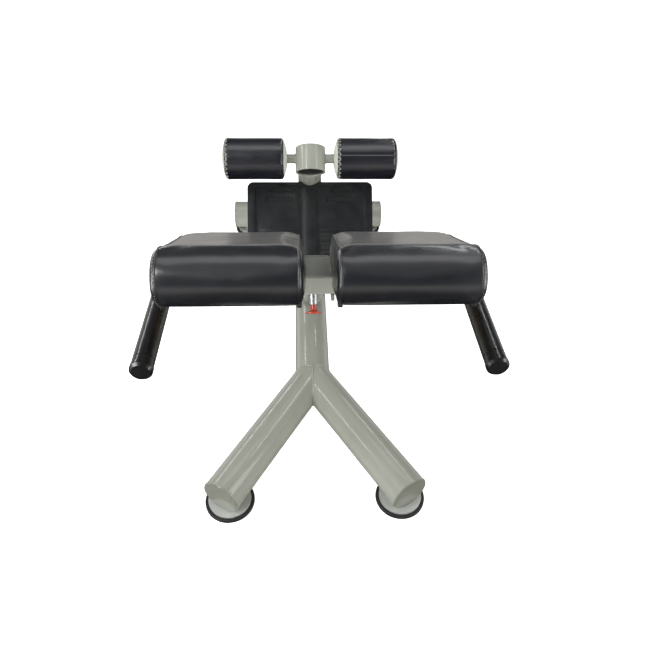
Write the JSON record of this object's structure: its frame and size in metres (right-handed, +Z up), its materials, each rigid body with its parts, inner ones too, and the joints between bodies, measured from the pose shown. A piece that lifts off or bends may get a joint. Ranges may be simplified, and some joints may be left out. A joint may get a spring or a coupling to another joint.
{
  "type": "roman chair",
  "caption": "45 degree back extension bench: Y-shaped tube frame, sliding split hip pad with hand grips, sloped foot plate and padded ankle rollers",
  "frame": {"origin": "on the floor, under the middle of the machine's outline", "axes": "+Z up; +X across the machine to the user's left when facing -Y, and the machine is the same on both sides of X = 0; -Y is the end that the user's head and the grips point to"},
  "size_m": [0.591, 1.3858, 0.7818],
  "materials": {
    "frame_paint": "glossy warm grey powder coat",
    "plate_paint": "glossy warm grey powder coat, darker",
    "foot_steel": "silver grey paint",
    "foot_rubber": "matt black rubber",
    "tread_plastic": "satin black moulding",
    "black_plastic": "satin black moulding",
    "zinc_steel": "bright zinc",
    "roller_vinyl": "semi-gloss vinyl",
    "pad_vinyl": "semi-gloss vinyl",
    "plywood": "raw plywood",
    "disc_plastic": "light grey moulding",
    "knob_plastic": "glossy red-orange",
    "grip_rubber": "glossy black rubber"
  },
  "bodies": {
    "frame": {"front_leg_left": "frame_paint", "front_leg_right": "frame_paint", "spine_tube": "frame_paint", "rear_cross_tube": "frame_paint", "leg_end_plates": "plate_paint", "rear_end_plates": "plate_paint", "foot_disc_front_left": "foot_steel", "foot_disc_front_right": "foot_steel", "foot_disc_rear_left": "foot_steel", "foot_disc_rear_right": "foot_steel", "rubber_foot_front_left": "foot_rubber", "rubber_foot_front_right": "foot_rubber", "rubber_foot_rear_left": "foot_rubber", "rubber_foot_rear_right": "foot_rubber", "main_beam": "frame_paint", "beam_liner": "black_plastic", "upright": "frame_paint", "plate_brackets": "frame_paint", "foot_plate": "tread_plastic", "foot_plate_bolts": "zinc_steel", "rear_strut": "frame_paint", "head_tube": "frame_paint", "head_cap": "frame_paint", "head_plug": "black_plastic", "roller_bar": "frame_paint", "bar_washers": "zinc_steel", "bar_screws": "zinc_steel", "pin_barrel": "zinc_steel", "pin_spring": "zinc_steel"},
    "carriage": {"inner_post": "frame_paint", "post_plug": "black_plastic", "carrier": "frame_paint", "carrier_end_plates": "plate_paint", "gusset_plates": "plate_paint", "pad_board_left": "plywood", "pad_board_right": "plywood", "hip_pad_left": "pad_vinyl", "hip_pad_right": "pad_vinyl", "pad_bolts": "zinc_steel", "handle_left": "frame_paint", "handle_right": "frame_paint", "grip_left": "grip_rubber", "grip_right": "grip_rubber"},
    "pin": {"pull_pin": "zinc_steel", "pin_knob": "knob_plastic"},
    "roller_left": {"roller_pad_left": "roller_vinyl", "roller_sleeve_left": "black_plastic", "roller_discs_left": "disc_plastic"},
    "roller_right": {"roller_pad_right": "roller_vinyl", "roller_sleeve_right": "black_plastic", "roller_discs_right": "disc_plastic"}
  },
  "joints": [
    {"name": "carriage_slide", "type": "slide", "parent": "frame", "child": "carriage", "axis": [0, -0.7157, 0.6984], "range_m": [-0.1, 0.08]},
    {"name": "pin_pull", "type": "slide", "parent": "frame", "child": "pin", "axis": [0, -0.6984, -0.7157], "range_m": [0, 0.01], "stiffness_N_per_m": 800, "springref_m": -0.005, "deforming": ["pin_spring"]},
    {"name": "roller_left_spin", "type": "hinge", "parent": "frame", "child": "roller_left", "pos_m": [0, 0.23367, 0.50692], "axis": [1, 0, 0], "continuous": true},
    {"name": "roller_right_spin", "type": "hinge", "parent": "frame", "child": "roller_right", "pos_m": [0, 0.23367, 0.50692], "axis": [1, 0, 0], "continuous": true}
  ]
}
